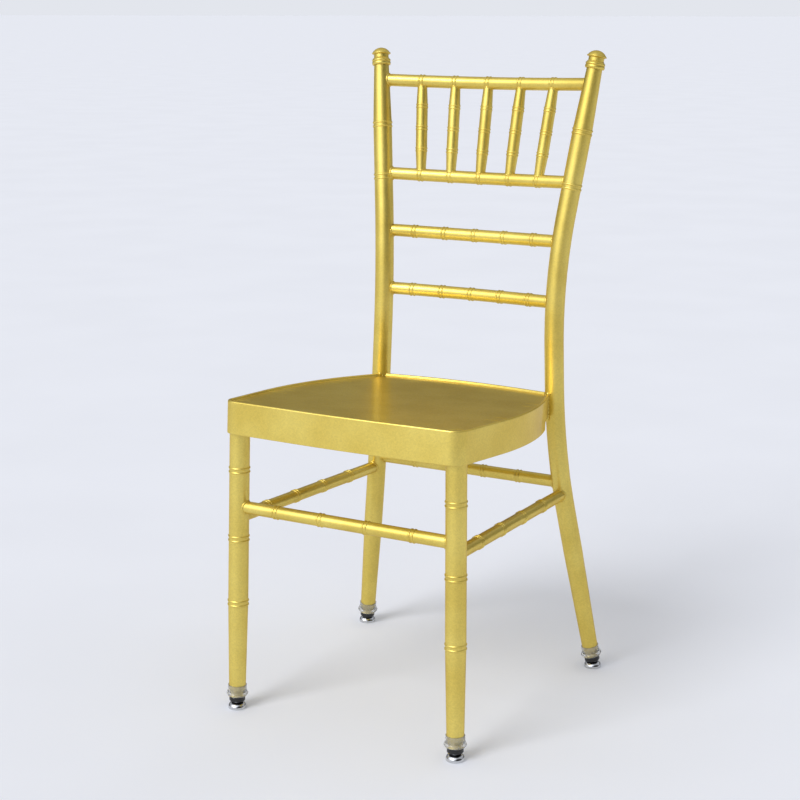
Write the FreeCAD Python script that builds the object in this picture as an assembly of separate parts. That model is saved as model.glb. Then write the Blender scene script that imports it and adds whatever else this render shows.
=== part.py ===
import FreeCAD, Part
import math
import os

Vector = FreeCAD.Vector

# A stacking banquet chair of welded steel tube with a pressed sheet-metal seat.
# The chair faces -Y and +Z is up. Left (-X) and right (+X) are as seen from in front of it.
# Lengths are in millimetres. A "half" is a distance from the middle plane, a "back" one along +Y.

# Rear posts: one bent tube from the floor to the crown, given by the corners of its centre line
rear_foot_half = 200.3
rear_foot_back = 200.0
knee_height = 343.0
knee_half = 151.0
knee_back = 157.0
waist_height = 597.0
waist_half = 142.1
waist_back = 161.4
crown_height = 899.4
crown_half = 178.0
crown_back = 211.4
knee_bend_radius = 1090.0
waist_bend_radius = 930.0
post_radius = 14.25
post_top_radius = 11.4
post_foot_radius = 11.6
post_top_taper_height = 814.0
post_foot_taper_height = 182.0
post_ring_heights = (166.0, 238.0, 309.5, 508.0, 581.0, 655.0, 731.0, 809.5)

# Front legs: straight tube from the floor to the underside of the seat
front_foot_half = 177.2
front_foot_back = -199.8
front_top_height = 440.0
front_top_half = 170.5
front_top_back = -189.2
leg_radius = 14.25
leg_foot_radius = 11.8
leg_taper_height = 158.0
leg_ring_heights = (158.0, 252.5, 351.3)

tube_wall = 1.2

# Turned double rings, the bamboo joints: two half-round ribs side by side
post_ring_rib = 1.7
post_ring_gap = 6.0
rail_ring_rib = 1.5
rail_ring_gap = 5.2
ring_rise = 1.0
ring_root = 0.35

# Back rails, bowed towards the back at one bending radius and set a little behind the posts' middle
rail_radius = 9.3
rail_bow_radius = 985.0
rail_set_back = 3.0
rail_heights = (877.8, 737.2, 651.3, 562.3)
rail_ring_pitches = (55.2, 49.4, 50.0, 49.2)
rail_ring_count = 5

# Spindles between the two upper rails
spindle_mid_radius = 8.7
spindle_end_radius = 6.9
spindle_ring_rib = 1.3
spindle_ring_gap = 4.4
spindle_ring_rise = 0.7
spindle_ring_places = (0.27, 0.50, 0.735)

# Stretchers
stretcher_radius = 8.9
front_stretcher_height = 298.0
side_stretcher_front_height = 282.3
side_stretcher_rear_height = 275.3
rear_stretcher_height = 293.0
front_stretcher_ring_pitch = 72.3
rear_stretcher_ring_pitch = 59.0
side_stretcher_ring_pitch = 70.4
side_stretcher_ring_start = 66.0
stretcher_ring_count = 4

# Seat pan: pressed steel sheet with a rolled rim, sloping down to the back. Its rear corners run
# into the posts, with the foot of the skirt cut away there.
seat_front_height = 452.9
seat_slope = 3.62
seat_sheet = 1.2
seat_skirt = 46.2
seat_rim_width = 4.8
seat_recess = 3.6
seat_edge_round = 2.1
seat_recess_round = 1.2
seat_foot_round = 0.9
seat_front_back = -216.3
seat_front_middle_round = 1500.0
seat_corner_half = 186.0
seat_corner_back = -208.5
seat_corner_round = 21.0
seat_side_half = 197.6
seat_side_back = 10.0
seat_side_round = 512.0
seat_rear_half = 141.6
seat_rear_back = 155.9
seat_rear_round = 8.0
seat_rear_middle_back = 179.3
seat_rear_middle_round = 600.0
seat_notch_height = 12.3
seat_notch_reach = 60.0

# Flat bars welded across the underside of the pan
brace_width = 24.0
brace_thickness = 3.0
brace_backs = (-75.0, 55.0)
brace_side_gap = 0.3

# Crown finials: a collar of two ribs, a narrow neck and a domed cap, with a spigot down the tube
finial_rib_root = 13.4
finial_rib_rise = 0.9
finial_lower_rib = 5.2
finial_upper_rib = 3.4
finial_neck_radius = 11.3
finial_neck_start = 11.5
finial_neck_length = 4.7
finial_brim_radius = 14.4
finial_brim_height = 17.9
finial_brim_edge = 0.9
finial_dome_height = 26.7
finial_spigot_length = 16.0
finial_spigot_clearance = 0.1

# Tilting glides: ball stud, plastic plug in the tube, chromed base on the floor
ball_height = 8.0
ball_radius = 6.0
ball_clearance = 0.06
stud_radius = 2.5
stud_length = 24.0
stud_clearance = 0.06
stud_end_gap = 0.5
collar_start = 3.3
collar_radius = 11.3
collar_length = 7.7
collar_edge = 1.2
plug_length = 22.0
plug_clearance = 0.08
base_radius = 13.0
base_height = 8.4
base_straight = 3.6
base_mouth_radius = 8.4
base_dome_bulge = 1.0
base_skin = 0.9
base_edge = 0.9
socket_height = 9.2
socket_lip_radius = 6.8

# Clear sleeves pushed over the tube ends
sleeve_lip = 1.0
sleeve_wall = 1.1
sleeve_length = 15.0
sleeve_foot_radius = 13.6
sleeve_flange_radius = 15.4
sleeve_flange_rise = 4.0
sleeve_flange_edge = 1.2
sleeve_shoulder_rise = 6.6
sleeve_shoulder_step = 1.2
sleeve_neck_rise = 10.0
sleeve_neck_step = 0.3
sleeve_clearance = 0.05

QUARTER_ROUND = 1 - math.sqrt(0.5)
UP = Vector(0, 0, 1)
ORIGIN = Vector(0, 0, 0)
SIDES = (("left", -1), ("right", 1))


def unit(v):
    return Vector(v) / v.Length


def disc(point, direction, radius):
    return Part.Face(Part.Wire(Part.Circle(point, direction, radius).toShape()))


class Run:
    """A straight stretch of a tube's centre line."""

    def __init__(self, start, end):
        self.start, self.end = start, end

    def at(self, t):
        return self.start + (self.end - self.start) * t, unit(self.end - self.start)

    def solid(self, radius):
        span = self.end - self.start
        return Part.makeCylinder(radius, span.Length, self.start, span)


class Bend:
    """A round stretch of a tube's centre line, through three points."""

    def __init__(self, start, middle, end):
        self.start, self.end = start, end
        self.edge = Part.Arc(start, middle, end).toShape()

    def at(self, t):
        first, last = self.edge.ParameterRange
        u = first + (last - first) * t
        return self.edge.valueAt(u), unit(self.edge.tangentAt(u))

    def solid(self, radius):
        first, last = self.edge.ParameterRange
        circle = self.edge.Curve
        point, direction = self.at(0.0)
        turn = math.degrees(last - first)
        return disc(point, direction, radius).revolve(circle.Center, circle.Axis, turn)


def rounded_path(corners, radii):
    """Straight runs between corners, with a tangent bend of its own radius at each inner corner."""
    pieces = []
    start = corners[0]
    for before, corner, after, radius in zip(corners, corners[1:], corners[2:], radii):
        inward = unit(corner - before)
        outward = unit(after - corner)
        half_turn = inward.getAngle(outward) / 2
        reach = radius * math.tan(half_turn)
        to_centre = unit(outward - inward)
        middle = corner + to_centre * (radius / math.cos(half_turn) - radius)
        pieces.append(Run(start, corner - inward * reach))
        pieces.append(Bend(corner - inward * reach, middle, corner + outward * reach))
        start = corner + outward * reach
    pieces.append(Run(start, corners[-1]))
    return pieces


def locate(pieces, axis, value):
    """The point and direction where a centre line passes a value of x (0), y (1) or z (2)."""
    for piece in pieces:
        low, high = 0.0, 1.0
        if (piece.at(low)[0][axis] - value) * (piece.at(high)[0][axis] - value) > 0:
            continue
        rising = piece.at(high)[0][axis] > piece.at(low)[0][axis]
        for _ in range(50):
            t = (low + high) / 2
            if (piece.at(t)[0][axis] < value) == rising:
                low = t
            else:
                high = t
        return piece.at(t)
    raise ValueError("the centre line does not pass %s" % value)


def frustum(start, end, start_radius, end_radius):
    span = end - start
    return Part.makeCone(start_radius, end_radius, span.Length, start, span)


def joined(shapes):
    return shapes[0].fuse(shapes[1:]).removeSplitter()


def turned(profile, point=ORIGIN, direction=UP):
    """A solid of revolution about a line. The profile runs round its outline in (radius, height)
    points; a third number makes the edge that ends there an arc that bulges outwards by so much."""
    edges = []
    for start, end in zip(profile, profile[1:] + profile[:1]):
        low, high = Vector(start[0], 0, start[1]), Vector(end[0], 0, end[1])
        if len(end) == 2:
            edges.append(Part.LineSegment(low, high).toShape())
            continue
        outward = unit(Vector(high.z - low.z, 0, low.x - high.x))
        edges.append(Part.Arc(low, (low + high) / 2 + outward * end[2], high).toShape())
    return placed(Part.Face(Part.Wire(edges)).revolve(ORIGIN, UP, 360), point, direction)


def placed(shape, point, direction):
    """A shape made along +Z from the origin, moved to a point and direction."""
    moved = shape.copy()
    moved.Placement = FreeCAD.Placement(point, FreeCAD.Rotation(UP, direction)) * moved.Placement
    return moved


def mirrored(shape, side):
    """Shapes are made on the right, +X, and mirrored to the left."""
    return shape if side > 0 else shape.mirror(ORIGIN, Vector(1, 0, 0))


def ring_band(place, tube_radius, rib, gap):
    """A double ring for a bent tube: two ribs on one thin band that is sunk into the tube's wall."""
    root = tube_radius - ring_root
    inside = root - ring_root
    reach = gap / 2 + rib
    profile = [(inside, -reach), (root, -reach), (root, rib - gap / 2, ring_rise + ring_root)]
    profile += [(root, gap / 2 - rib), (root, reach, ring_rise + ring_root), (inside, reach)]
    return turned(profile, *place)


def ringed(tube, bands):
    for band in bands:
        tube = tube.fuse(band)
    return tube


def trimmed(shape, holders):
    """What is left of a piece between the pieces it meets, one after the other."""
    for holder in holders:
        if shape.BoundBox.intersect(holder.BoundBox):
            shape = max(shape.cut(holder).Solids, key=lambda solid: solid.Volume)
    return shape


def ringed_turning(outline, middles, rib, gap, rise, wall=None):
    """A straight piece along +Z with double rings round it: a tube with a wall, a rod without."""

    def radius_of(height):
        for (low_radius, low), (high_radius, high) in zip(outline, outline[1:]):
            if low <= height <= high:
                return low_radius + (high_radius - low_radius) * (height - low) / (high - low)
        raise ValueError("the outline does not reach %s" % height)

    points = list(outline)
    for middle in middles:
        for crest in (middle - gap / 2, middle + gap / 2):
            points.append((radius_of(crest - rib), crest - rib))
            points.append((radius_of(crest + rib), crest + rib, rise))
    points.sort(key=lambda point: point[1])
    if wall is None:
        inner = [(0, outline[-1][1]), (0, outline[0][1])]
    else:
        inner = [(radius - wall, height) for radius, height in outline[::-1]]
    return turned(points + inner)


# Centre lines

rear_ball = Vector(rear_foot_half, rear_foot_back, ball_height)
front_ball = Vector(front_foot_half, front_foot_back, ball_height)
knee = Vector(knee_half, knee_back, knee_height)
waist = Vector(waist_half, waist_back, waist_height)
crown = Vector(crown_half, crown_back, crown_height)
front_top = Vector(front_top_half, front_top_back, front_top_height)
rear_lean = unit(knee - rear_ball)
front_lean = unit(front_top - front_ball)
crown_lean = unit(crown - waist)
tube_end_rise = collar_start + collar_length + sleeve_lip
rear_tube_end = rear_ball + rear_lean * tube_end_rise
front_tube_end = front_ball + front_lean * tube_end_rise
post_line = rounded_path([rear_tube_end, knee, waist, crown], (knee_bend_radius, waist_bend_radius))
leg_line = [Run(front_tube_end, front_top)]


def radius_at(height, end_height, end_radius, taper_height, full_radius):
    share = (height - end_height) / (taper_height - end_height)
    return end_radius + (full_radius - end_radius) * min(max(share, 0.0), 1.0)


def post_girth(height):
    if height > knee_height:
        return radius_at(height, crown_height, post_top_radius, post_top_taper_height, post_radius)
    return radius_at(height, rear_tube_end.z, post_foot_radius, post_foot_taper_height, post_radius)


# Rear posts


def post_body(inset):
    """The post without its rings, all its radii smaller by the inset."""
    foot_taper = locate(post_line, 2, post_foot_taper_height)[0]
    top_taper = locate(post_line, 2, post_top_taper_height)[0]
    full = post_radius - inset
    middle = [Run(foot_taper, post_line[0].end)] + post_line[1:-1] + [Run(post_line[-1].start, top_taper)]
    shapes = [frustum(rear_tube_end, foot_taper, post_foot_radius - inset, full)]
    shapes += [piece.solid(full) for piece in middle]
    shapes.append(frustum(top_taper, crown, full, post_top_radius - inset))
    return joined(shapes)


def post_bands():
    places = [locate(post_line, 2, height) for height in post_ring_heights]
    return [ring_band(place, post_girth(place[0].z), post_ring_rib, post_ring_gap) for place in places]


def rear_post():
    return ringed(post_body(0.0).cut(post_body(tube_wall)), post_bands())


# Front legs


def leg_body(inset):
    taper = locate(leg_line, 2, leg_taper_height)[0]
    return joined([
        frustum(front_tube_end, taper, leg_foot_radius - inset, leg_radius - inset),
        Run(taper, front_top + front_lean * seat_skirt).solid(leg_radius - inset),
    ])


def front_leg(under_seat):
    reach = (front_top + front_lean * seat_skirt - front_tube_end).Length
    taper = (leg_taper_height - front_tube_end.z) / front_lean.z
    outline = [(leg_foot_radius, 0.0), (leg_radius, taper), (leg_radius, reach)]
    middles = [(height - front_tube_end.z) / front_lean.z for height in leg_ring_heights]
    tube = ringed_turning(outline, middles, post_ring_rib, post_ring_gap, ring_rise, tube_wall)
    return placed(tube, front_tube_end, front_lean).common(under_seat)


# Back rails and spindles


def rail_line(height):
    """One bend from post to post, bowed square to the lean of the posts at that height."""
    end, lean = locate(post_line, 2, height)
    backward = unit(Vector(0, lean.z, -lean.y))
    end += backward * rail_set_back
    sag = rail_bow_radius - math.sqrt(rail_bow_radius ** 2 - end.x ** 2)
    middle = Vector(0, end.y, end.z) + backward * sag
    return [Bend(Vector(-end.x, end.y, end.z), middle, end)]


def rail_bands(height, pitch):
    middle = (rail_ring_count - 1) / 2
    places = [locate(rail_line(height), 0, (k - middle) * pitch) for k in range(rail_ring_count)]
    return [ring_band(place, rail_radius, rail_ring_rib, rail_ring_gap) for place in places]


def back_rail(height, pitch, holders):
    bend = rail_line(height)[0]
    tube = bend.solid(rail_radius).cut(bend.solid(rail_radius - tube_wall))
    return ringed(trimmed(tube, holders), rail_bands(height, pitch))


def spindle(k, holders):
    """A turned rod from the second rail up to the top rail, fanning outwards."""
    offset = k - (rail_ring_count - 1) / 2
    top = locate(rail_line(rail_heights[0]), 0, offset * rail_ring_pitches[0])[0]
    bottom = locate(rail_line(rail_heights[1]), 0, offset * rail_ring_pitches[1])[0]
    rise = unit(top - bottom)
    reach = (top - bottom).Length
    middles = [reach * share for share in spindle_ring_places]
    outline = [(spindle_end_radius, 0.0)]
    outline += [(spindle_mid_radius, height) for height in middles]
    outline.append((spindle_end_radius, reach))
    rod = ringed_turning(outline, middles, spindle_ring_rib, spindle_ring_gap, spindle_ring_rise)
    return trimmed(placed(rod, bottom, rise), holders)


# Stretchers


def stretcher(start, end, middles, holders):
    span = end - start
    outline = [(stretcher_radius, 0.0), (stretcher_radius, span.Length)]
    tube = ringed_turning(outline, middles, rail_ring_rib, rail_ring_gap, ring_rise, tube_wall)
    return trimmed(placed(tube, start, unit(span)), holders)


def cross_stretcher(line, height, pitch, holders):
    end = locate(line, 2, height)[0]
    spread = (stretcher_ring_count - 1) / 2
    middles = [end.x + (k - spread) * pitch for k in range(stretcher_ring_count)]
    return stretcher(Vector(-end.x, end.y, end.z), end, middles, holders)


def side_stretcher(holders):
    front = locate(leg_line, 2, side_stretcher_front_height)[0]
    rear = locate(post_line, 2, side_stretcher_rear_height)[0]
    middles = [side_stretcher_ring_start + k * side_stretcher_ring_pitch for k in range(stretcher_ring_count)]
    return stretcher(front, rear, middles, holders)


# Seat pan, made level with its top face at z = 0 and then tilted into place


def seat_outline(inset):
    """The outline seen from above, moved inwards by the inset, as lines and tangent arcs."""
    half = [
        (Vector(0, seat_front_back, 0), seat_front_middle_round),
        (Vector(seat_corner_half, seat_corner_back, 0), seat_corner_round),
        (Vector(seat_side_half, seat_side_back, 0), seat_side_round),
        (Vector(seat_rear_half, seat_rear_back, 0), seat_rear_round),
        (Vector(0, seat_rear_middle_back, 0), seat_rear_middle_round),
    ]
    corners = half + [(Vector(-corner.x, corner.y, 0), radius) for corner, radius in half[-2:0:-1]]
    count = len(corners)
    ends = []
    for k in range(count):
        before, (corner, radius), after = corners[k - 1][0], corners[k], corners[(k + 1) % count][0]
        inward, outward = unit(corner - before), unit(after - corner)
        half_turn = inward.getAngle(outward) / 2
        reach = radius * math.tan(half_turn)
        to_centre = unit(outward - inward)
        centre = corner + to_centre * (radius / math.cos(half_turn))
        small = radius - inset
        start, end = corner - inward * reach, corner + outward * reach
        normals = [unit(start - centre), -to_centre, unit(end - centre)]
        ends.append([centre + normal * small for normal in normals])
    pieces = []
    for k in range(count):
        pieces.append(Part.Arc(*ends[k]).toShape())
        pieces.append(Part.LineSegment(ends[k][2], ends[(k + 1) % count][0]).toShape())
    return Part.Wire(pieces)


def seat_prism(inset, low, high):
    wire = seat_outline(inset)
    wire.translate(Vector(0, 0, low))
    return Part.Face(wire).extrude(Vector(0, 0, high - low))


def edges_at(shape, height):
    """The edges that lie flat at a height."""
    near = 1e-4
    flat = []
    for edge in shape.Edges:
        box = edge.BoundBox
        if abs(box.ZMin - height) < near and abs(box.ZMax - height) < near:
            flat.append(edge)
    return flat


def on_seat(shape):
    """From the level pan frame to the chair: turned about the front edge, then raised."""
    moved = shape.copy()
    moved.rotate(Vector(0, seat_front_back, 0), Vector(1, 0, 0), -seat_slope)
    moved.translate(Vector(0, 0, seat_front_height))
    return moved


def seat_pan(posts):
    recess = seat_prism(seat_rim_width, -seat_recess, seat_recess)
    recess = recess.makeFillet(seat_recess_round, edges_at(recess, -seat_recess))
    blank = seat_prism(0.0, -seat_skirt, 0.0)
    blank = blank.makeFillet(seat_foot_round, edges_at(blank, -seat_skirt)).cut(recess)
    blank = blank.makeFillet(seat_edge_round, edges_at(blank, 0.0))
    under = seat_prism(seat_sheet, -seat_skirt - 1.0, -seat_sheet)
    under = under.makeFillet(seat_edge_round - seat_sheet, edges_at(under, -seat_sheet))
    floor = seat_prism(seat_rim_width - seat_sheet, -seat_recess - seat_sheet, 0.0)
    pan = blank.cut(under.cut(floor))
    for side in (-1, 1):
        corner = Vector(side * seat_rear_half, seat_rear_back, -seat_skirt)
        pan = pan.cut(Part.makeCylinder(seat_notch_reach, seat_notch_height, corner))
    return trimmed(on_seat(pan), posts)


def seat_underside():
    """Everything below the flat of the pan, to cut the front legs to length."""
    size = 4 * seat_corner_half
    block = Part.makeBox(size, size, size, Vector(-size / 2, -size / 2, -size - seat_recess - seat_sheet))
    return on_seat(block)


def seat_brace(back, inside):
    low = -seat_recess - seat_sheet - brace_thickness
    wide = 2 * seat_corner_half
    bar = Part.makeBox(wide, brace_width, brace_thickness, Vector(-wide / 2, back - brace_width / 2, low))
    return on_seat(bar.common(inside))


# Crown finials


def finial():
    spigot = post_top_radius - tube_wall - finial_spigot_clearance
    ribs_end = finial_lower_rib + finial_upper_rib
    neck_end = finial_neck_start + finial_neck_length
    brim = finial_brim_radius - finial_brim_edge
    dome_rise = finial_dome_height - finial_brim_height - finial_brim_edge
    dome_radius = (brim ** 2 + dome_rise ** 2) / (2 * dome_rise)
    dome_bulge = dome_radius - math.sqrt(dome_radius ** 2 - (brim ** 2 + dome_rise ** 2) / 4)
    profile = [
        (0, -finial_spigot_length),
        (spigot, -finial_spigot_length),
        (spigot, 0),
        (finial_rib_root, 0),
        (finial_rib_root, finial_lower_rib, finial_rib_rise),
        (finial_rib_root, ribs_end, finial_rib_rise),
        (finial_neck_radius, finial_neck_start),
        (finial_neck_radius, neck_end),
        (brim, finial_brim_height - finial_brim_edge),
        (brim, finial_brim_height + finial_brim_edge, finial_brim_edge),
        (0, finial_dome_height, dome_bulge),
    ]
    return turned(profile, crown, crown_lean)


# Glides, made with the ball's centre at the origin


def glide_plug(end_radius, taper):
    """The black collar under the tube and the stem up its bore, drilled for the stud."""
    stem_start = collar_start + collar_length
    stem = end_radius - tube_wall - plug_clearance
    top = stem_start + sleeve_lip + plug_length
    profile = [
        (0, collar_start),
        (collar_radius - collar_edge, collar_start),
        (collar_radius, collar_start + collar_edge, QUARTER_ROUND * collar_edge),
        (collar_radius, stem_start),
        (stem, stem_start),
        (stem, stem_start + sleeve_lip),
        (stem + plug_length * taper, top),
        (0, top),
    ]
    bore = Part.makeCylinder(stud_radius + stud_clearance, ball_radius + stud_length + stud_end_gap)
    return turned(profile).cut(bore).cut(glide_cavity())


def foot_sleeve(end_radius, taper):
    """The clear bell over the tube end, with a lip between the tube and the collar."""
    foot = collar_start + collar_length
    tube_start = foot + sleeve_lip
    inner = end_radius + sleeve_clearance
    outer = inner + sleeve_wall
    top = tube_start + sleeve_length
    flange = foot + sleeve_flange_rise
    profile = [
        (end_radius - tube_wall, foot),
        (sleeve_foot_radius, foot),
        (sleeve_flange_radius, flange - sleeve_flange_edge),
        (sleeve_flange_radius, flange),
        (outer + sleeve_shoulder_step, foot + sleeve_shoulder_rise),
        (outer + sleeve_neck_step, foot + sleeve_neck_rise),
        (outer + sleeve_length * taper, top),
        (inner + sleeve_length * taper, top),
        (inner, tube_start),
        (end_radius - tube_wall, tube_start),
    ]
    return turned(profile)


def glide_stud():
    shank = Part.makeCylinder(stud_radius, ball_radius + stud_length)
    return joined([Part.makeSphere(ball_radius), shank])


def glide_cavity():
    return Part.makeSphere(ball_radius + ball_clearance)


def glide_base():
    """The chromed cup on the floor, round the socket."""
    floor = -ball_height
    rim = floor + base_height
    profile = [
        (0, floor),
        (base_radius - base_edge, floor),
        (base_radius, floor + base_edge, QUARTER_ROUND * base_edge),
        (base_radius, floor + base_straight),
        (base_mouth_radius, rim, base_dome_bulge),
        (0, rim),
    ]
    return turned(profile).cut(socket_blank())


def socket_blank():
    """All that the base holds: its hollow, and the lip that stands out of its mouth."""
    floor = base_skin - ball_height
    rim = base_height - ball_height
    inside = base_radius - base_skin
    top = socket_height - ball_height
    profile = [
        (0, floor),
        (inside, floor),
        (inside, base_straight - ball_height),
        (base_mouth_radius, rim - base_skin, base_dome_bulge),
        (base_mouth_radius, rim),
        (socket_lip_radius, top),
        (0, top),
    ]
    return turned(profile)


def glide_socket():
    return socket_blank().cut(glide_cavity())


def build():
    post_bodies = [mirrored(post_body(0.0), side) for name, side in SIDES]
    legs = [mirrored(leg_body(0.0), side) for name, side in SIDES]
    ringed_posts = post_bodies + [mirrored(band, side) for band in post_bands() for name, side in SIDES]
    post = rear_post()
    leg = front_leg(seat_underside())
    side_bar = side_stretcher([post_bodies[1], legs[1]])
    cap = finial()
    parts = {"seat_pan": seat_pan(post_bodies)}
    for name, side in SIDES:
        parts["rear_post_" + name] = mirrored(post, side)
        parts["front_leg_" + name] = mirrored(leg, side)
        parts["side_stretcher_" + name] = mirrored(side_bar, side)
        parts["finial_" + name] = mirrored(cap, side)
    parts["front_stretcher"] = cross_stretcher(
        leg_line, front_stretcher_height, front_stretcher_ring_pitch, legs)
    parts["rear_stretcher"] = cross_stretcher(
        post_line, rear_stretcher_height, rear_stretcher_ring_pitch, post_bodies)
    rails = list(zip(rail_heights, rail_ring_pitches))
    for k, (height, pitch) in enumerate(rails):
        parts["back_rail_%d" % (k + 1)] = back_rail(height, pitch, ringed_posts)
    spindle_holders = []
    for height, pitch in rails[:2]:
        spindle_holders.append(rail_line(height)[0].solid(rail_radius))
        spindle_holders += rail_bands(height, pitch)
    for k in range(rail_ring_count):
        parts["spindle_%d" % (k + 1)] = spindle(k, spindle_holders)
    inside = seat_prism(seat_sheet + brace_side_gap, -seat_skirt, 0.0)
    for k, back in enumerate(brace_backs):
        parts["seat_brace_%d" % (k + 1)] = seat_brace(back, inside)
    ends = (
        ("front", front_ball, front_lean, leg_foot_radius,
         (leg_radius - leg_foot_radius) / (leg_taper_height - front_tube_end.z)),
        ("rear", rear_ball, rear_lean, post_foot_radius,
         (post_radius - post_foot_radius) / (post_foot_taper_height - rear_tube_end.z)),
    )
    for end, ball, lean, end_radius, widening in ends:
        taper = widening * lean.z
        for name, side in SIDES:
            foot = "_%s_%s" % (end, name)
            parts["glide_plug" + foot] = mirrored(placed(glide_plug(end_radius, taper), ball, lean), side)
            parts["foot_sleeve" + foot] = mirrored(placed(foot_sleeve(end_radius, taper), ball, lean), side)
            parts["glide_stud" + foot] = mirrored(placed(glide_stud(), ball, lean), side)
            parts["glide_base" + foot] = mirrored(placed(glide_base(), ball, UP), side)
            parts["glide_socket" + foot] = mirrored(placed(glide_socket(), ball, UP), side)
    return parts


parts = build()
boxes = [shape.optimalBoundingBox(False) for shape in parts.values()]
low = Vector(min(b.XMin for b in boxes), min(b.YMin for b in boxes), min(b.ZMin for b in boxes))
high = Vector(max(b.XMax for b in boxes), max(b.YMax for b in boxes), max(b.ZMax for b in boxes))
# The origin is the middle of the footprint, on the floor
shift = Vector(-(low.x + high.x) / 2, -(low.y + high.y) / 2, -low.z)

os.makedirs("parts", exist_ok=True)
for name, shape in parts.items():
    shape.translate(shift)
    shape.exportStep("parts/%s.step" % name)
    print("%-28s valid %s solids %d volume %.0f" % (name, shape.isValid(), len(shape.Solids), shape.Volume))
print("overall", high - low, "shift", shift)
for end, ball, lean in (("front", front_ball, front_lean), ("rear", rear_ball, rear_lean)):
    print(end, "right ball", ball + shift, "lean", lean, "degrees", math.degrees(lean.getAngle(UP)))
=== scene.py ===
# %% [markdown]
# A gold banquet chair with bamboo rings.
# The real chair is welded from bent steel tube, with a seat pressed from sheet, and powder-coated as
# one piece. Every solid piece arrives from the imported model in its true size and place, and stays
# there. This file adds the weld beads that hold the frame together, gives each piece its finish, and
# sets up the camera, the floor and the light.

# %% Load the frame
import math
import random

import bmesh
import bpy
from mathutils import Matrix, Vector
from mathutils.bvhtree import BVHTree


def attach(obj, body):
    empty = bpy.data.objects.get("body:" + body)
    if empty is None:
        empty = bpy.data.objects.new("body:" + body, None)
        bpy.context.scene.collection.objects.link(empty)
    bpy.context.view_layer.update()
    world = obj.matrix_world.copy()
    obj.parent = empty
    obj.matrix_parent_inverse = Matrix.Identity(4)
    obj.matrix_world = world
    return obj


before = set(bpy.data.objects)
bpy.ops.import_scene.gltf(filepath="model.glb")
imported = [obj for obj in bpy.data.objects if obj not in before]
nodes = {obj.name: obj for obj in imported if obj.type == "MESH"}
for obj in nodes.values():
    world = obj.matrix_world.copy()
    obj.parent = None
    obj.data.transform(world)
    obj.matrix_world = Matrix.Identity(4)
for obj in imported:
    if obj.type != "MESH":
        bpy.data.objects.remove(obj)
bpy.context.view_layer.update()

MM = 0.001
SIDES = ("left", "right")

# %% [markdown]
# The camera stands where the photographer stood. Its place was found by matching the feet, the rings
# and the rail ends of the chair, so the picture has the same perspective as the photograph. The
# optical axis passes a little above the middle of the picture, which a small vertical shift gives.

# %% The camera
PICTURE = 800
FOCAL_LENGTH_PIXELS = 1726.5
AXIS_ABOVE_MIDDLE_PIXELS = 59.9
SENSOR = 36.0
CAMERA_PLACE = Vector((1.1919, -2.1147, 0.9815))
CAMERA_AZIMUTH = math.radians(29.99)
CAMERA_ELEVATION = math.radians(10.80)

camera_data = bpy.data.cameras.new("camera")
camera_data.sensor_width = SENSOR
camera_data.lens = SENSOR * FOCAL_LENGTH_PIXELS / PICTURE
camera_data.shift_y = -AXIS_ABOVE_MIDDLE_PIXELS / PICTURE
camera = bpy.data.objects.new("camera", camera_data)
camera.location = CAMERA_PLACE
backwards = Vector((
    math.sin(CAMERA_AZIMUTH) * math.cos(CAMERA_ELEVATION),
    -math.cos(CAMERA_AZIMUTH) * math.cos(CAMERA_ELEVATION),
    math.sin(CAMERA_ELEVATION),
))
camera.rotation_euler = backwards.to_track_quat("Z", "Y").to_euler()
bpy.context.scene.collection.objects.link(camera)
bpy.context.scene.camera = camera
bpy.context.scene.view_settings.view_transform = "Standard"
print("the lens is %.1f mm" % camera_data.lens)

# %% [markdown]
# A tube of the frame ends in a saddle, cut to the round of the tube that it meets, and the weld runs
# round that saddle. The line of the weld could be worked out again from the radii of the two tubes,
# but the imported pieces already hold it: it is the border of those faces of one piece that rest on the
# other. So a copy of the piece's mesh is merged, its faces that touch the holder are found, and the
# edges round them are followed from vertex to vertex. A tube has two such lines at each end, one
# outside and one inside its wall, and the longest is the outside one.

# %% Find where one piece meets another
TOUCHING = 0.3 * MM


def merged(name):
    """A copy of a piece's mesh with its loose triangles joined."""
    shape = bmesh.new()
    shape.from_mesh(nodes[name].data)
    bmesh.ops.remove_doubles(shape, verts=shape.verts, dist=0.01 * MM)
    return shape


def length_of(points):
    return sum((b - a).length for a, b in zip(points, points[1:]))


def seams(piece, holder, reach=TOUCHING):
    """The borders of the faces of a piece that rest on its holder, as lists of points, longest first."""
    holder_shape = merged(holder)
    skin = BVHTree.FromBMesh(holder_shape)
    shape = merged(piece)
    near = {vert for vert in shape.verts if skin.find_nearest(vert.co, reach)[0]}
    resting = {face for face in shape.faces if near.issuperset(face.verts)}
    next_to = {}
    for edge in shape.edges:
        if len(resting.intersection(edge.link_faces)) == 1:
            a, b = edge.verts
            next_to.setdefault(a, []).append(b)
            next_to.setdefault(b, []).append(a)
    lines = []
    while next_to:
        vert = next(iter(next_to))
        line = []
        while vert is not None:
            line.append(vert.co.copy())
            neighbours = next_to.pop(vert)
            vert = next((other for other in neighbours if other in next_to), None)
        lines.append(line)
    shape.free()
    holder_shape.free()
    return sorted(lines, key=length_of, reverse=True)


line = seams("back_rail_1", "rear_post_left")[0]
print("the weld at the left end of the top rail is %.1f mm long" % (length_of(line) / MM))

# %% [markdown]
# A weld bead is a row of small overlapping puddles, each frozen as the torch moved on. A curve with a
# round bevel makes such a bead: its points are spread evenly along the line, two to a puddle, and
# their radius swells at one and shrinks at the next. The powder coat softens the ripples, so they
# are shallow, and no two are quite alike. All the beads of one kind share one curve object. Its bevel
# is one metre deep, so that the radius of each point is simply the radius of the bead there.

# %% A weld bead
RIPPLE = 2.2
SWELL = 0.1
UNEVEN = 0.05
chance = random.Random(7)


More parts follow.
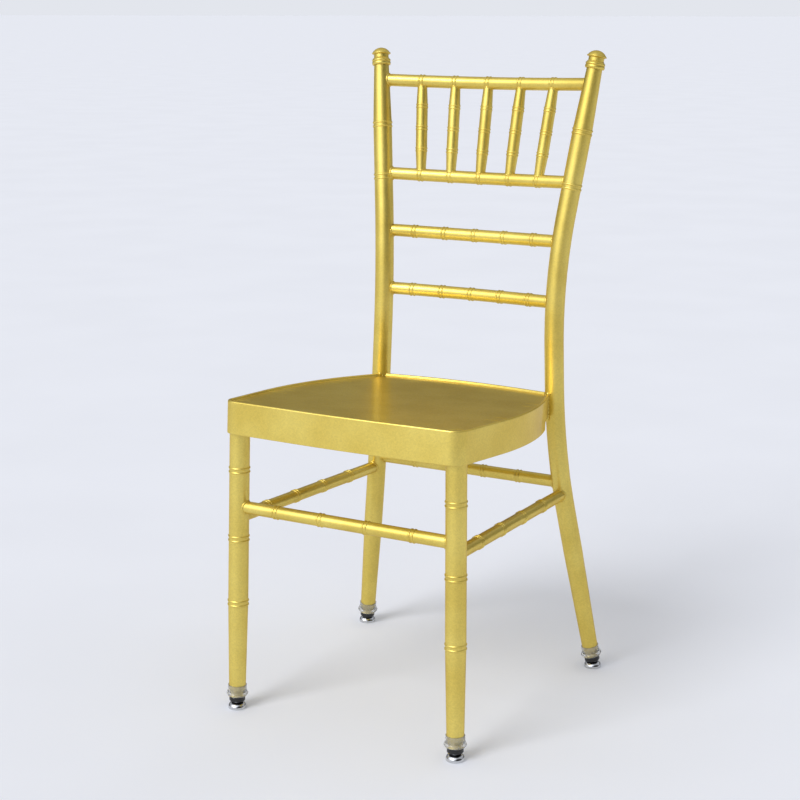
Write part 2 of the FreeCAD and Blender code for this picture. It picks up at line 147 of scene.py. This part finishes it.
def evenly(points, step, closed):
    """Points at even steps along a line, an even number of them."""
    route = points + points[:1] if closed else points
    count = 2 * max(2, round(length_of(route) / step / 2))
    spacing = length_of(route) / (count if closed else count - 1)
    spread = [route[0]]
    travelled = 0.0
    for a, b in zip(route, route[1:]):
        span = (b - a).length
        while len(spread) < count and travelled + span >= spacing * len(spread):
            spread.append(a.lerp(b, (spacing * len(spread) - travelled) / span))
        travelled += span
    return spread if len(spread) == count else spread + [route[-1]]


def weld_curve(name):
    curve = bpy.data.curves.new(name, "CURVE")
    curve.dimensions = "3D"
    curve.bevel_depth = 1.0
    curve.bevel_resolution = 2
    curve.resolution_u = 2
    curve.use_fill_caps = True
    return curve


def add_bead(curve, points, radius, closed=True, ripple=RIPPLE, swell=SWELL):
    spread = evenly(points, ripple * MM / 2, closed)
    spline = curve.splines.new("NURBS")
    spline.points.add(len(spread) - 1)
    for k, (point, place) in enumerate(zip(spline.points, spread)):
        point.co = place.to_4d()
        point.radius = radius * MM * (1 + (swell if k % 2 else -swell) + chance.uniform(-UNEVEN, UNEVEN))
    spline.use_cyclic_u = closed
    spline.use_endpoint_u = not closed
    spline.order_u = 3


def finish_welds(curve):
    """The beads as one piece that moves with the frame."""
    welds = bpy.data.objects.new(curve.name, curve)
    bpy.context.scene.collection.objects.link(welds)
    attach(welds, "frame")
    print("%s: %d beads" % (curve.name, len(curve.splines)))
    return welds


# %% [markdown]
# Tube meets tube at the ends of the rails, the stretchers and the spindles. The tubes are welded all
# round, with a bead about as thick as their wall. The thin ends of the spindles get a finer bead. The
# legs end under the pan, and the inner edge of a leg's end lies a little further from the sheet, so
# the faces that rest on the pan are looked for within a longer reach.

# %% Welds between tubes
TUBE_BEAD = 1.5
SPINDLE_BEAD = 0.8
UNDER_THE_PAN = 3 * MM


def all_round(name, radius, joints, reach=TOUCHING):
    curve = weld_curve(name)
    for piece, holder in joints:
        add_bead(curve, seams(piece, holder, reach)[0], radius)
    return finish_welds(curve)


rails = ["back_rail_%d" % k for k in range(1, 5)]
spindles = ["spindle_%d" % k for k in range(1, 6)]
posts = [post + side for side in SIDES for post in ("front_leg_", "rear_post_")]
rail_joints = [(rail, "rear_post_" + side) for rail in rails for side in SIDES]
spindle_joints = [(spindle, rail) for spindle in spindles for rail in rails[:2]]
stretcher_joints = [("side_stretcher_" + post.split("_")[-1], post) for post in posts]
stretcher_joints += [("front_stretcher", "front_leg_" + side) for side in SIDES]
stretcher_joints += [("rear_stretcher", "rear_post_" + side) for side in SIDES]
leg_joints = [("front_leg_" + side, "seat_pan") for side in SIDES]
welds = [
    all_round("rail_welds", TUBE_BEAD, rail_joints),
    all_round("spindle_welds", SPINDLE_BEAD, spindle_joints),
    all_round("stretcher_welds", TUBE_BEAD, stretcher_joints),
    all_round("leg_welds", TUBE_BEAD, leg_joints, UNDER_THE_PAN),
]

# %% [markdown]
# The rear corners of the pan run into the posts. One heavy bead with coarse puddles goes up the
# outside of the skirt there, from below the notch at its foot to the rim, and a short one crosses the
# rim on the front of the post. Both take their place from the line where pan and post meet: one from
# its points outside the skirt, the lowest and the highest, and one from its points on the rim. The
# heavy bead is drawn out of the corner a little, to the front, where there was room for the torch.

# %% Welds at the rear corners of the pan
CORNER_BEAD = 4.2
CORNER_RIPPLE = 5.2
CORNER_SWELL = 0.22
CORNER_DEPTH = 3.0 * MM
BELOW_THE_SKIRT = 6.0 * MM
RIM_BEAD = 2.3
RIM_DEPTH = 3.0 * MM
DRAWN_OUT = Vector((-0.2, -1.3, 0.0)) * MM


def outside(points, side):
    """The ends of the part of a line on the outer side of the skirt, its foot first."""
    sign = -1 if side == "left" else 1
    outer = max(sign * point.x for point in points)
    kept = [point for point in points if sign * point.x > outer - CORNER_DEPTH]
    foot, head = (pick(kept, key=lambda point: point.z) for pick in (min, max))
    shift = Vector((sign * DRAWN_OUT.x, DRAWN_OUT.y, 0.0))
    return [foot + shift - Vector((0, 0, BELOW_THE_SKIRT)), head + shift]


def over_rim(points):
    """Three points of a line where it crosses the rim, on the front of the post."""
    top = max(points, key=lambda point: point.z)
    middle = sum(point.y for point in points) / len(points)
    kept = [point for point in points if point.z > top.z - RIM_DEPTH and point.y < middle]
    left, right = (pick(kept, key=lambda point: point.x) for pick in (min, max))
    return [left, max(kept, key=lambda point: point.z), right]


corner_curve = weld_curve("seat_corner_welds")
rim_curve = weld_curve("seat_rim_welds")
for side in SIDES:
    line = seams("seat_pan", "rear_post_" + side)[0]
    upright, crossing = outside(line, side), over_rim(line)
    add_bead(corner_curve, upright, CORNER_BEAD, False, CORNER_RIPPLE, CORNER_SWELL)
    add_bead(rim_curve, crossing, RIM_BEAD, False)
    print("%s corner: %.1f mm up" % (side, length_of(upright) / MM))
    print("  and %.1f mm across the rim" % (length_of(crossing) / MM))
welds += [finish_welds(corner_curve), finish_welds(rim_curve)]

# %% [markdown]
# The two flat bars under the pan only have to stiffen the sheet, and a long weld would warp it. So
# each bar is stitched: one short bead along each of its long edges, at both ends.

# %% Stitch welds on the braces
STITCH = 26.0
BRACES = ("seat_brace_1", "seat_brace_2")
FACES_UP = 0.9


def top_corners(name):
    """The corners of the upper face of a flat piece."""
    shape = merged(name)
    shape.normal_update()
    top = {vert for face in shape.faces if face.normal.z > FACES_UP for vert in face.verts}
    points = [vert.co.copy() for vert in top]
    shape.free()
    return points


brace_curve = weld_curve("brace_welds")
for brace in BRACES:
    corners = top_corners(brace)
    ends = [[point for point in corners if sign * point.x > 0] for sign in (-1, 1)]
    for pick in (min, max):
        left, right = (pick(end, key=lambda point: point.y) for end in ends)
        along = (right - left).normalized() * STITCH * MM
        add_bead(brace_curve, [left, left + along], TUBE_BEAD, closed=False)
        add_bead(brace_curve, [right - along, right], TUBE_BEAD, closed=False)
welds.append(finish_welds(brace_curve))

# %% [markdown]
# Colours are written as the hex values that a picture shows, and one function turns them into the
# linear values that the shaders work with. One more small function adds a node to a material: it
# sets the node's options, gives each input either a value or a link from another node, and sets the
# colours along a ramp. Every pattern reads Object coordinates, which are metres here, so its scale
# follows from the size of its grain in millimetres. The values of a noise lie mostly near the middle,
# so a ramp on a noise runs over the middle part only.

# %% Helpers for materials
NOISE_LOW, NOISE_HIGH = 0.35, 0.65


def colour(hex_value):
    """An sRGB hex value such as "C8A84E" as a linear colour with full alpha."""
    channels = [int(hex_value[k:k + 2], 16) / 255 for k in (0, 2, 4)]
    return [c / 12.92 if c <= 0.04045 else ((c + 0.055) / 1.055) ** 2.4 for c in channels] + [1.0]


def add(tree, kind, inputs=None, ramp=(), **settings):
    """A node of a kind, with its settings, its inputs as values or links, and its ramp's colours."""
    node = tree.nodes.new("ShaderNode" + kind)
    for name, value in settings.items():
        setattr(node, name, value)
    for socket, value in (inputs or {}).items():
        if isinstance(value, bpy.types.NodeSocket):
            tree.links.new(value, node.inputs[socket])
        else:
            node.inputs[socket].default_value = value
    for k, (position, tone) in enumerate(ramp):
        node.color_ramp.elements[k].position = position
        node.color_ramp.elements[k].color = colour(tone)
    return node


def new_material(name):
    """An empty material: its node tree, and the place that its patterns are laid out in."""
    material = bpy.data.materials.new(name)
    material.use_nodes = True
    material.node_tree.nodes.clear()
    return material, material.node_tree, add(material.node_tree, "TexCoord").outputs["Object"]


def finish_material(material, **sockets):
    """The one shader of a material, with its sockets as values or links."""
    inputs = {name.replace("_", " "): value for name, value in sockets.items()}
    shader = add(material.node_tree, "BsdfPrincipled", inputs)
    add(material.node_tree, "OutputMaterial", {"Surface": shader.outputs["BSDF"]})
    print("%s: %d nodes" % (material.name, len(material.node_tree.nodes)))
    return material


def per_metre(size_in_mm):
    """The scale of a pattern whose grains have a size."""
    return 1 / (size_in_mm * MM)


# %% [markdown]
# The frame's finish is a gold metallic powder coat: resin with fine brass flakes, sprayed dry, baked
# until it flows, and sealed under a clear coat. It is mostly flake and partly resin, so the shader is
# mostly metallic and moderately rough, with a thin gloss coat over it that gives the sharp light
# along every rounded edge. The resin flows into a faint orange peel of about 3 mm. The flakes lie at
# random, so each one is a little lighter or darker and shinier or duller than the next. Real flakes
# of 0.1 mm would be too fine to show, so they are drawn 1.8 mm across.

# %% Gold powder coat
FLAKE = 1.8
FLAKE_LIGHT = (0.94, 1.05)
FLAKE_ROUGHNESS = (0.33, 0.42)
ORANGE_PEEL = 3.0
PEEL_HEIGHT = 0.03 * MM
CLOUD = 70.0


def gold_powder_coat():
    material, tree, place = new_material("gold_powder_coat")
    cloud = add(tree, "TexNoise", {"Vector": place, "Scale": per_metre(CLOUD), "Detail": 2.0})
    gold_tone = add(tree, "ValToRGB", {"Fac": cloud.outputs["Fac"]},
                    ramp=((NOISE_LOW, "DBC25C"), (NOISE_HIGH, "E6D06C")))
    flakes = add(tree, "TexVoronoi", {"Vector": place, "Scale": per_metre(FLAKE)})
    flake = add(tree, "SeparateColor", {"Color": flakes.outputs["Color"]})
    light = add(tree, "MapRange", {
        "Value": flake.outputs["Red"], "To Min": FLAKE_LIGHT[0], "To Max": FLAKE_LIGHT[1],
    })
    golden = add(tree, "Mix", {0: 1.0, 6: gold_tone.outputs["Color"], 7: light.outputs["Result"]},
                 data_type="RGBA", blend_type="MULTIPLY")
    rough = add(tree, "MapRange", {
        "Value": flake.outputs["Green"], "To Min": FLAKE_ROUGHNESS[0], "To Max": FLAKE_ROUGHNESS[1],
    })
    peel = add(tree, "TexNoise", {"Vector": place, "Scale": per_metre(ORANGE_PEEL), "Detail": 1.0})
    bump = add(tree, "Bump", {"Height": peel.outputs["Fac"], "Distance": PEEL_HEIGHT, "Strength": 0.5})
    return finish_material(
        material, Base_Color=golden.outputs[2], Metallic=0.8, Roughness=rough.outputs["Result"],
        Normal=bump.outputs["Normal"], Specular_Tint=colour("E4C88C"),
        Coat_Weight=0.3, Coat_Roughness=0.12,
    )


gold = gold_powder_coat()

# %% [markdown]
# The cups under the feet are pressed from steel and plated with nickel and bright chromium. Chrome
# is a fully metallic, almost mirror-smooth grey-white, and what shows is the room in it. Years of
# dragging over floors leave fine scuffs, which only change the roughness a little.

# %% Chrome plate
SCUFF = 1.6
SCUFF_ROUGHNESS = (0.04, 0.16)


def chrome_plate():
    material, tree, place = new_material("chrome_plate")
    scuffs = add(tree, "TexNoise", {"Vector": place, "Scale": per_metre(SCUFF), "Detail": 4.0})
    chrome_tone = add(tree, "ValToRGB", {"Fac": scuffs.outputs["Fac"]},
                      ramp=((NOISE_LOW, "C9CACB"), (NOISE_HIGH, "DADBDC")))
    rough = add(tree, "MapRange", {
        "Value": scuffs.outputs["Fac"], "To Min": SCUFF_ROUGHNESS[0], "To Max": SCUFF_ROUGHNESS[1],
    })
    return finish_material(
        material, Base_Color=chrome_tone.outputs["Color"], Metallic=1.0,
        Roughness=rough.outputs["Result"],
    )


# %% [markdown]
# The plugs in the tube ends and the sockets on the balls are moulded from black nylon. A mould that
# is finely spark-eroded gives it a satin skin with a grain of a few tenths of a millimetre.

# %% Black nylon
SPARK_GRAIN = 0.4
GRAIN_ROUGHNESS = (0.32, 0.5)
GRAIN_HEIGHT = 0.02 * MM


def black_nylon():
    material, tree, place = new_material("black_nylon")
    grain = add(tree, "TexNoise", {"Vector": place, "Scale": per_metre(SPARK_GRAIN), "Detail": 2.0})
    nylon_tone = add(tree, "ValToRGB", {"Fac": grain.outputs["Fac"]},
                     ramp=((NOISE_LOW, "101011"), (NOISE_HIGH, "1B1B1D")))
    rough = add(tree, "MapRange", {
        "Value": grain.outputs["Fac"], "To Min": GRAIN_ROUGHNESS[0], "To Max": GRAIN_ROUGHNESS[1],
    })
    bump = add(tree, "Bump", {"Height": grain.outputs["Fac"], "Distance": GRAIN_HEIGHT, "Strength": 0.5})
    return finish_material(
        material, Base_Color=nylon_tone.outputs["Color"], Roughness=rough.outputs["Result"],
        Normal=bump.outputs["Normal"],
    )


# %% [markdown]
# The bells over the tube ends are clear polycarbonate, moulded. Light goes through them and bends,
# with the index of refraction of that plastic, so the gold tube shows through. Rubbing has clouded
# them, which blurs the tube and gives the plastic a little white of its own.

# %% Clear polycarbonate
POLYCARBONATE_IOR = 1.585
CLEARNESS = 0.9
RUB = 2.5
RUB_ROUGHNESS = (0.12, 0.25)


def clear_polycarbonate():
    material, tree, place = new_material("clear_polycarbonate")
    rubs = add(tree, "TexNoise", {"Vector": place, "Scale": per_metre(RUB), "Detail": 3.0})
    plastic_tone = add(tree, "ValToRGB", {"Fac": rubs.outputs["Fac"]},
                       ramp=((NOISE_LOW, "EDEEEC"), (NOISE_HIGH, "F7F7F5")))
    rough = add(tree, "MapRange", {
        "Value": rubs.outputs["Fac"], "To Min": RUB_ROUGHNESS[0], "To Max": RUB_ROUGHNESS[1],
    })
    return finish_material(
        material, Base_Color=plastic_tone.outputs["Color"], Roughness=rough.outputs["Result"],
        IOR=POLYCARBONATE_IOR, Transmission_Weight=CLEARNESS,
    )


# %% [markdown]
# The ball studs are turned from steel and zinc-plated. Zinc is a duller, bluer metal than chrome, and
# the turning leaves it with faint blotches of brighter and duller plating.

# %% Zinc-plated steel
BLOTCH = 1.2
BLOTCH_ROUGHNESS = (0.25, 0.42)


def zinc_steel():
    material, tree, place = new_material("zinc_steel")
    blotches = add(tree, "TexVoronoi", {"Vector": place, "Scale": per_metre(BLOTCH)})
    blotch = add(tree, "SeparateColor", {"Color": blotches.outputs["Color"]})
    zinc_tone = add(tree, "ValToRGB", {"Fac": blotch.outputs["Red"]},
                    ramp=((0.0, "A9ADB2"), (1.0, "BFC3C7")))
    rough = add(tree, "MapRange", {
        "Value": blotch.outputs["Green"], "To Min": BLOTCH_ROUGHNESS[0], "To Max": BLOTCH_ROUGHNESS[1],
    })
    return finish_material(
        material, Base_Color=zinc_tone.outputs["Color"], Metallic=1.0,
        Roughness=rough.outputs["Result"],
    )


# %% [markdown]
# Each piece takes the finish that its name calls for. The feet have four finishes of their own, and
# everything else is welded to the frame before it is coated, so it is gold, and so are the welds.

# %% Give each piece its finish
foot_finishes = {
    "glide_base": chrome_plate(),
    "glide_plug": black_nylon(),
    "glide_stud": zinc_steel(),
    "foot_sleeve": clear_polycarbonate(),
}
foot_finishes["glide_socket"] = foot_finishes["glide_plug"]
for name, node in nodes.items():
    kind = "_".join(name.split("_")[:2])
    node.data.materials[0] = foot_finishes.get(kind, gold)
for piece in welds:
    piece.data.materials.append(gold)
print("%d pieces and %d welds have their finish" % (len(nodes), len(welds)))

# %% [markdown]
# The chair stands on a plain pale floor that runs on to the horizon, so it is one large plane. It has
# the dull skin of matt emulsion paint, and carries the chair's shadow.

# %% Floor
FLOOR_SIZE = 600.0
FLOOR_MOTTLE = 400.0

floor_mesh = bpy.data.meshes.new("floor")
shape = bmesh.new()
bmesh.ops.create_grid(shape, x_segments=1, y_segments=1, size=FLOOR_SIZE / 2)
shape.to_mesh(floor_mesh)
shape.free()
floor = bpy.data.objects.new("floor", floor_mesh)
bpy.context.scene.collection.objects.link(floor)
material, tree, place = new_material("matt_emulsion_floor")
mottle = add(tree, "TexNoise", {"Vector": place, "Scale": per_metre(FLOOR_MOTTLE), "Detail": 2.0})
paint_tone = add(tree, "ValToRGB", {"Fac": mottle.outputs["Fac"]},
                 ramp=((NOISE_LOW, "ECEFF8"), (NOISE_HIGH, "EEF1FA")))
floor.data.materials.append(finish_material(
    material, Base_Color=paint_tone.outputs["Color"], Roughness=0.9, Specular_IOR_Level=0.0,
))

# %% [markdown]
# The light is a large soft key from the photographer's left, high enough to throw the shadow back and
# to the right, in an even pale room. The key is a sun lamp with a wide angle, because its light is
# the same all over the floor and its edge is soft.

# %% The key light
KEY_FROM = Vector((-0.207, -0.739, 0.64))
KEY_ANGLE = math.radians(28)
KEY_STRENGTH = 1.45

key = bpy.data.lights.new("key", "SUN")
key.angle = KEY_ANGLE
key.energy = KEY_STRENGTH
lamp = bpy.data.objects.new("key", key)
lamp.rotation_euler = KEY_FROM.to_track_quat("Z", "Y").to_euler()
bpy.context.scene.collection.objects.link(lamp)
print("the key stands %.0f degrees high" % math.degrees(math.asin(KEY_FROM.normalized().z)))

# %% [markdown]
# The world plays three parts: the even light in the room, the pale backdrop behind the chair, and the
# room that the metal and the clear plastic mirror. That mirrored room isn't even: it is bright round
# the key, dim to the right of the camera, which gives the round tubes their olive band, and dark
# behind the chair, as a dark wall is. The flat top of the seat is seen so low that it mirrors that
# wall and keeps its deep colour. Each of these parts has a direction, and a reach: the cosines of the
# angles from that direction at which its tone starts and is full.

# %% The room
ROOM_STRENGTH = 0.64
BACKDROP = "E3E6ED"
ROOM_TONE = 0.66
KEY_GLOW = 1.4
KEY_REACH = (0.6, 0.97)
DIM_SIDE = Vector((0.927, -0.375, 0.0))
DIM_REACH = (0.5, 0.9)
DIM_SIDE_TONE = 0.03
WALL = Vector((-0.5, 0.86, 0.0))
WALL_REACH = (0.0, 0.5)
WALL_TONE = 0.25
WALL_TOP = 0.35
WALL_BLUR = 0.12

world = bpy.data.worlds.new("studio")
bpy.context.scene.world = world
world.use_nodes = True
tree = world.node_tree
tree.nodes.clear()
rays = add(tree, "LightPath").outputs
away = add(tree, "TexCoord").outputs["Generated"]


def towards(direction, reach, tone_outside, tone_inside):
    """A tone that changes smoothly where a ray comes near a direction."""
    near = add(tree, "VectorMath", {0: away, 1: direction}, operation="DOT_PRODUCT")
    return add(tree, "MapRange", {
        "Value": near.outputs["Value"], "From Min": reach[0], "From Max": reach[1],
        "To Min": tone_outside, "To Max": tone_inside,
    }, interpolation_type="SMOOTHSTEP").outputs["Result"]


height = add(tree, "SeparateXYZ", {0: away}).outputs["Z"]
low = add(tree, "MapRange", {
    "Value": height, "From Min": WALL_TOP - WALL_BLUR, "From Max": WALL_TOP + WALL_BLUR,
    "To Min": 1.0, "To Max": 0.0,
}).outputs["Result"]
behind = towards(WALL, WALL_REACH, 0.0, 1 - WALL_TONE)
wall = add(tree, "Math", {0: low, 1: behind}, operation="MULTIPLY").outputs[0]
not_wall = add(tree, "Math", {0: 1.0, 1: wall}, operation="SUBTRACT").outputs[0]
side_tone = towards(DIM_SIDE, DIM_REACH, ROOM_TONE, DIM_SIDE_TONE)
dim = add(tree, "Math", {0: not_wall, 1: side_tone}, operation="MULTIPLY").outputs[0]
glow = towards(KEY_FROM, KEY_REACH, 0.0, KEY_GLOW)
tone = add(tree, "Math", {0: dim, 1: glow}, operation="ADD").outputs[0]
room = add(tree, "Background", {"Strength": ROOM_STRENGTH, "Color": [1.0, 1.0, 1.0, 1.0]})
mirrored = add(tree, "Background", {"Strength": tone, "Color": colour(BACKDROP)})
backdrop = add(tree, "Background", {"Strength": 1.0, "Color": colour(BACKDROP)})
mirror_ray = add(tree, "Math", {
    0: rays["Is Glossy Ray"], 1: rays["Is Transmission Ray"],
}, operation="MAXIMUM").outputs[0]
lit = add(tree, "MixShader", {"Fac": mirror_ray, 1: room.outputs[0], 2: mirrored.outputs[0]})
seen = add(tree, "MixShader", {
    "Fac": rays["Is Camera Ray"], 1: lit.outputs[0], 2: backdrop.outputs[0],
})
add(tree, "OutputWorld", {"Surface": seen.outputs[0]})
print("the room has %d nodes" % len(tree.nodes))
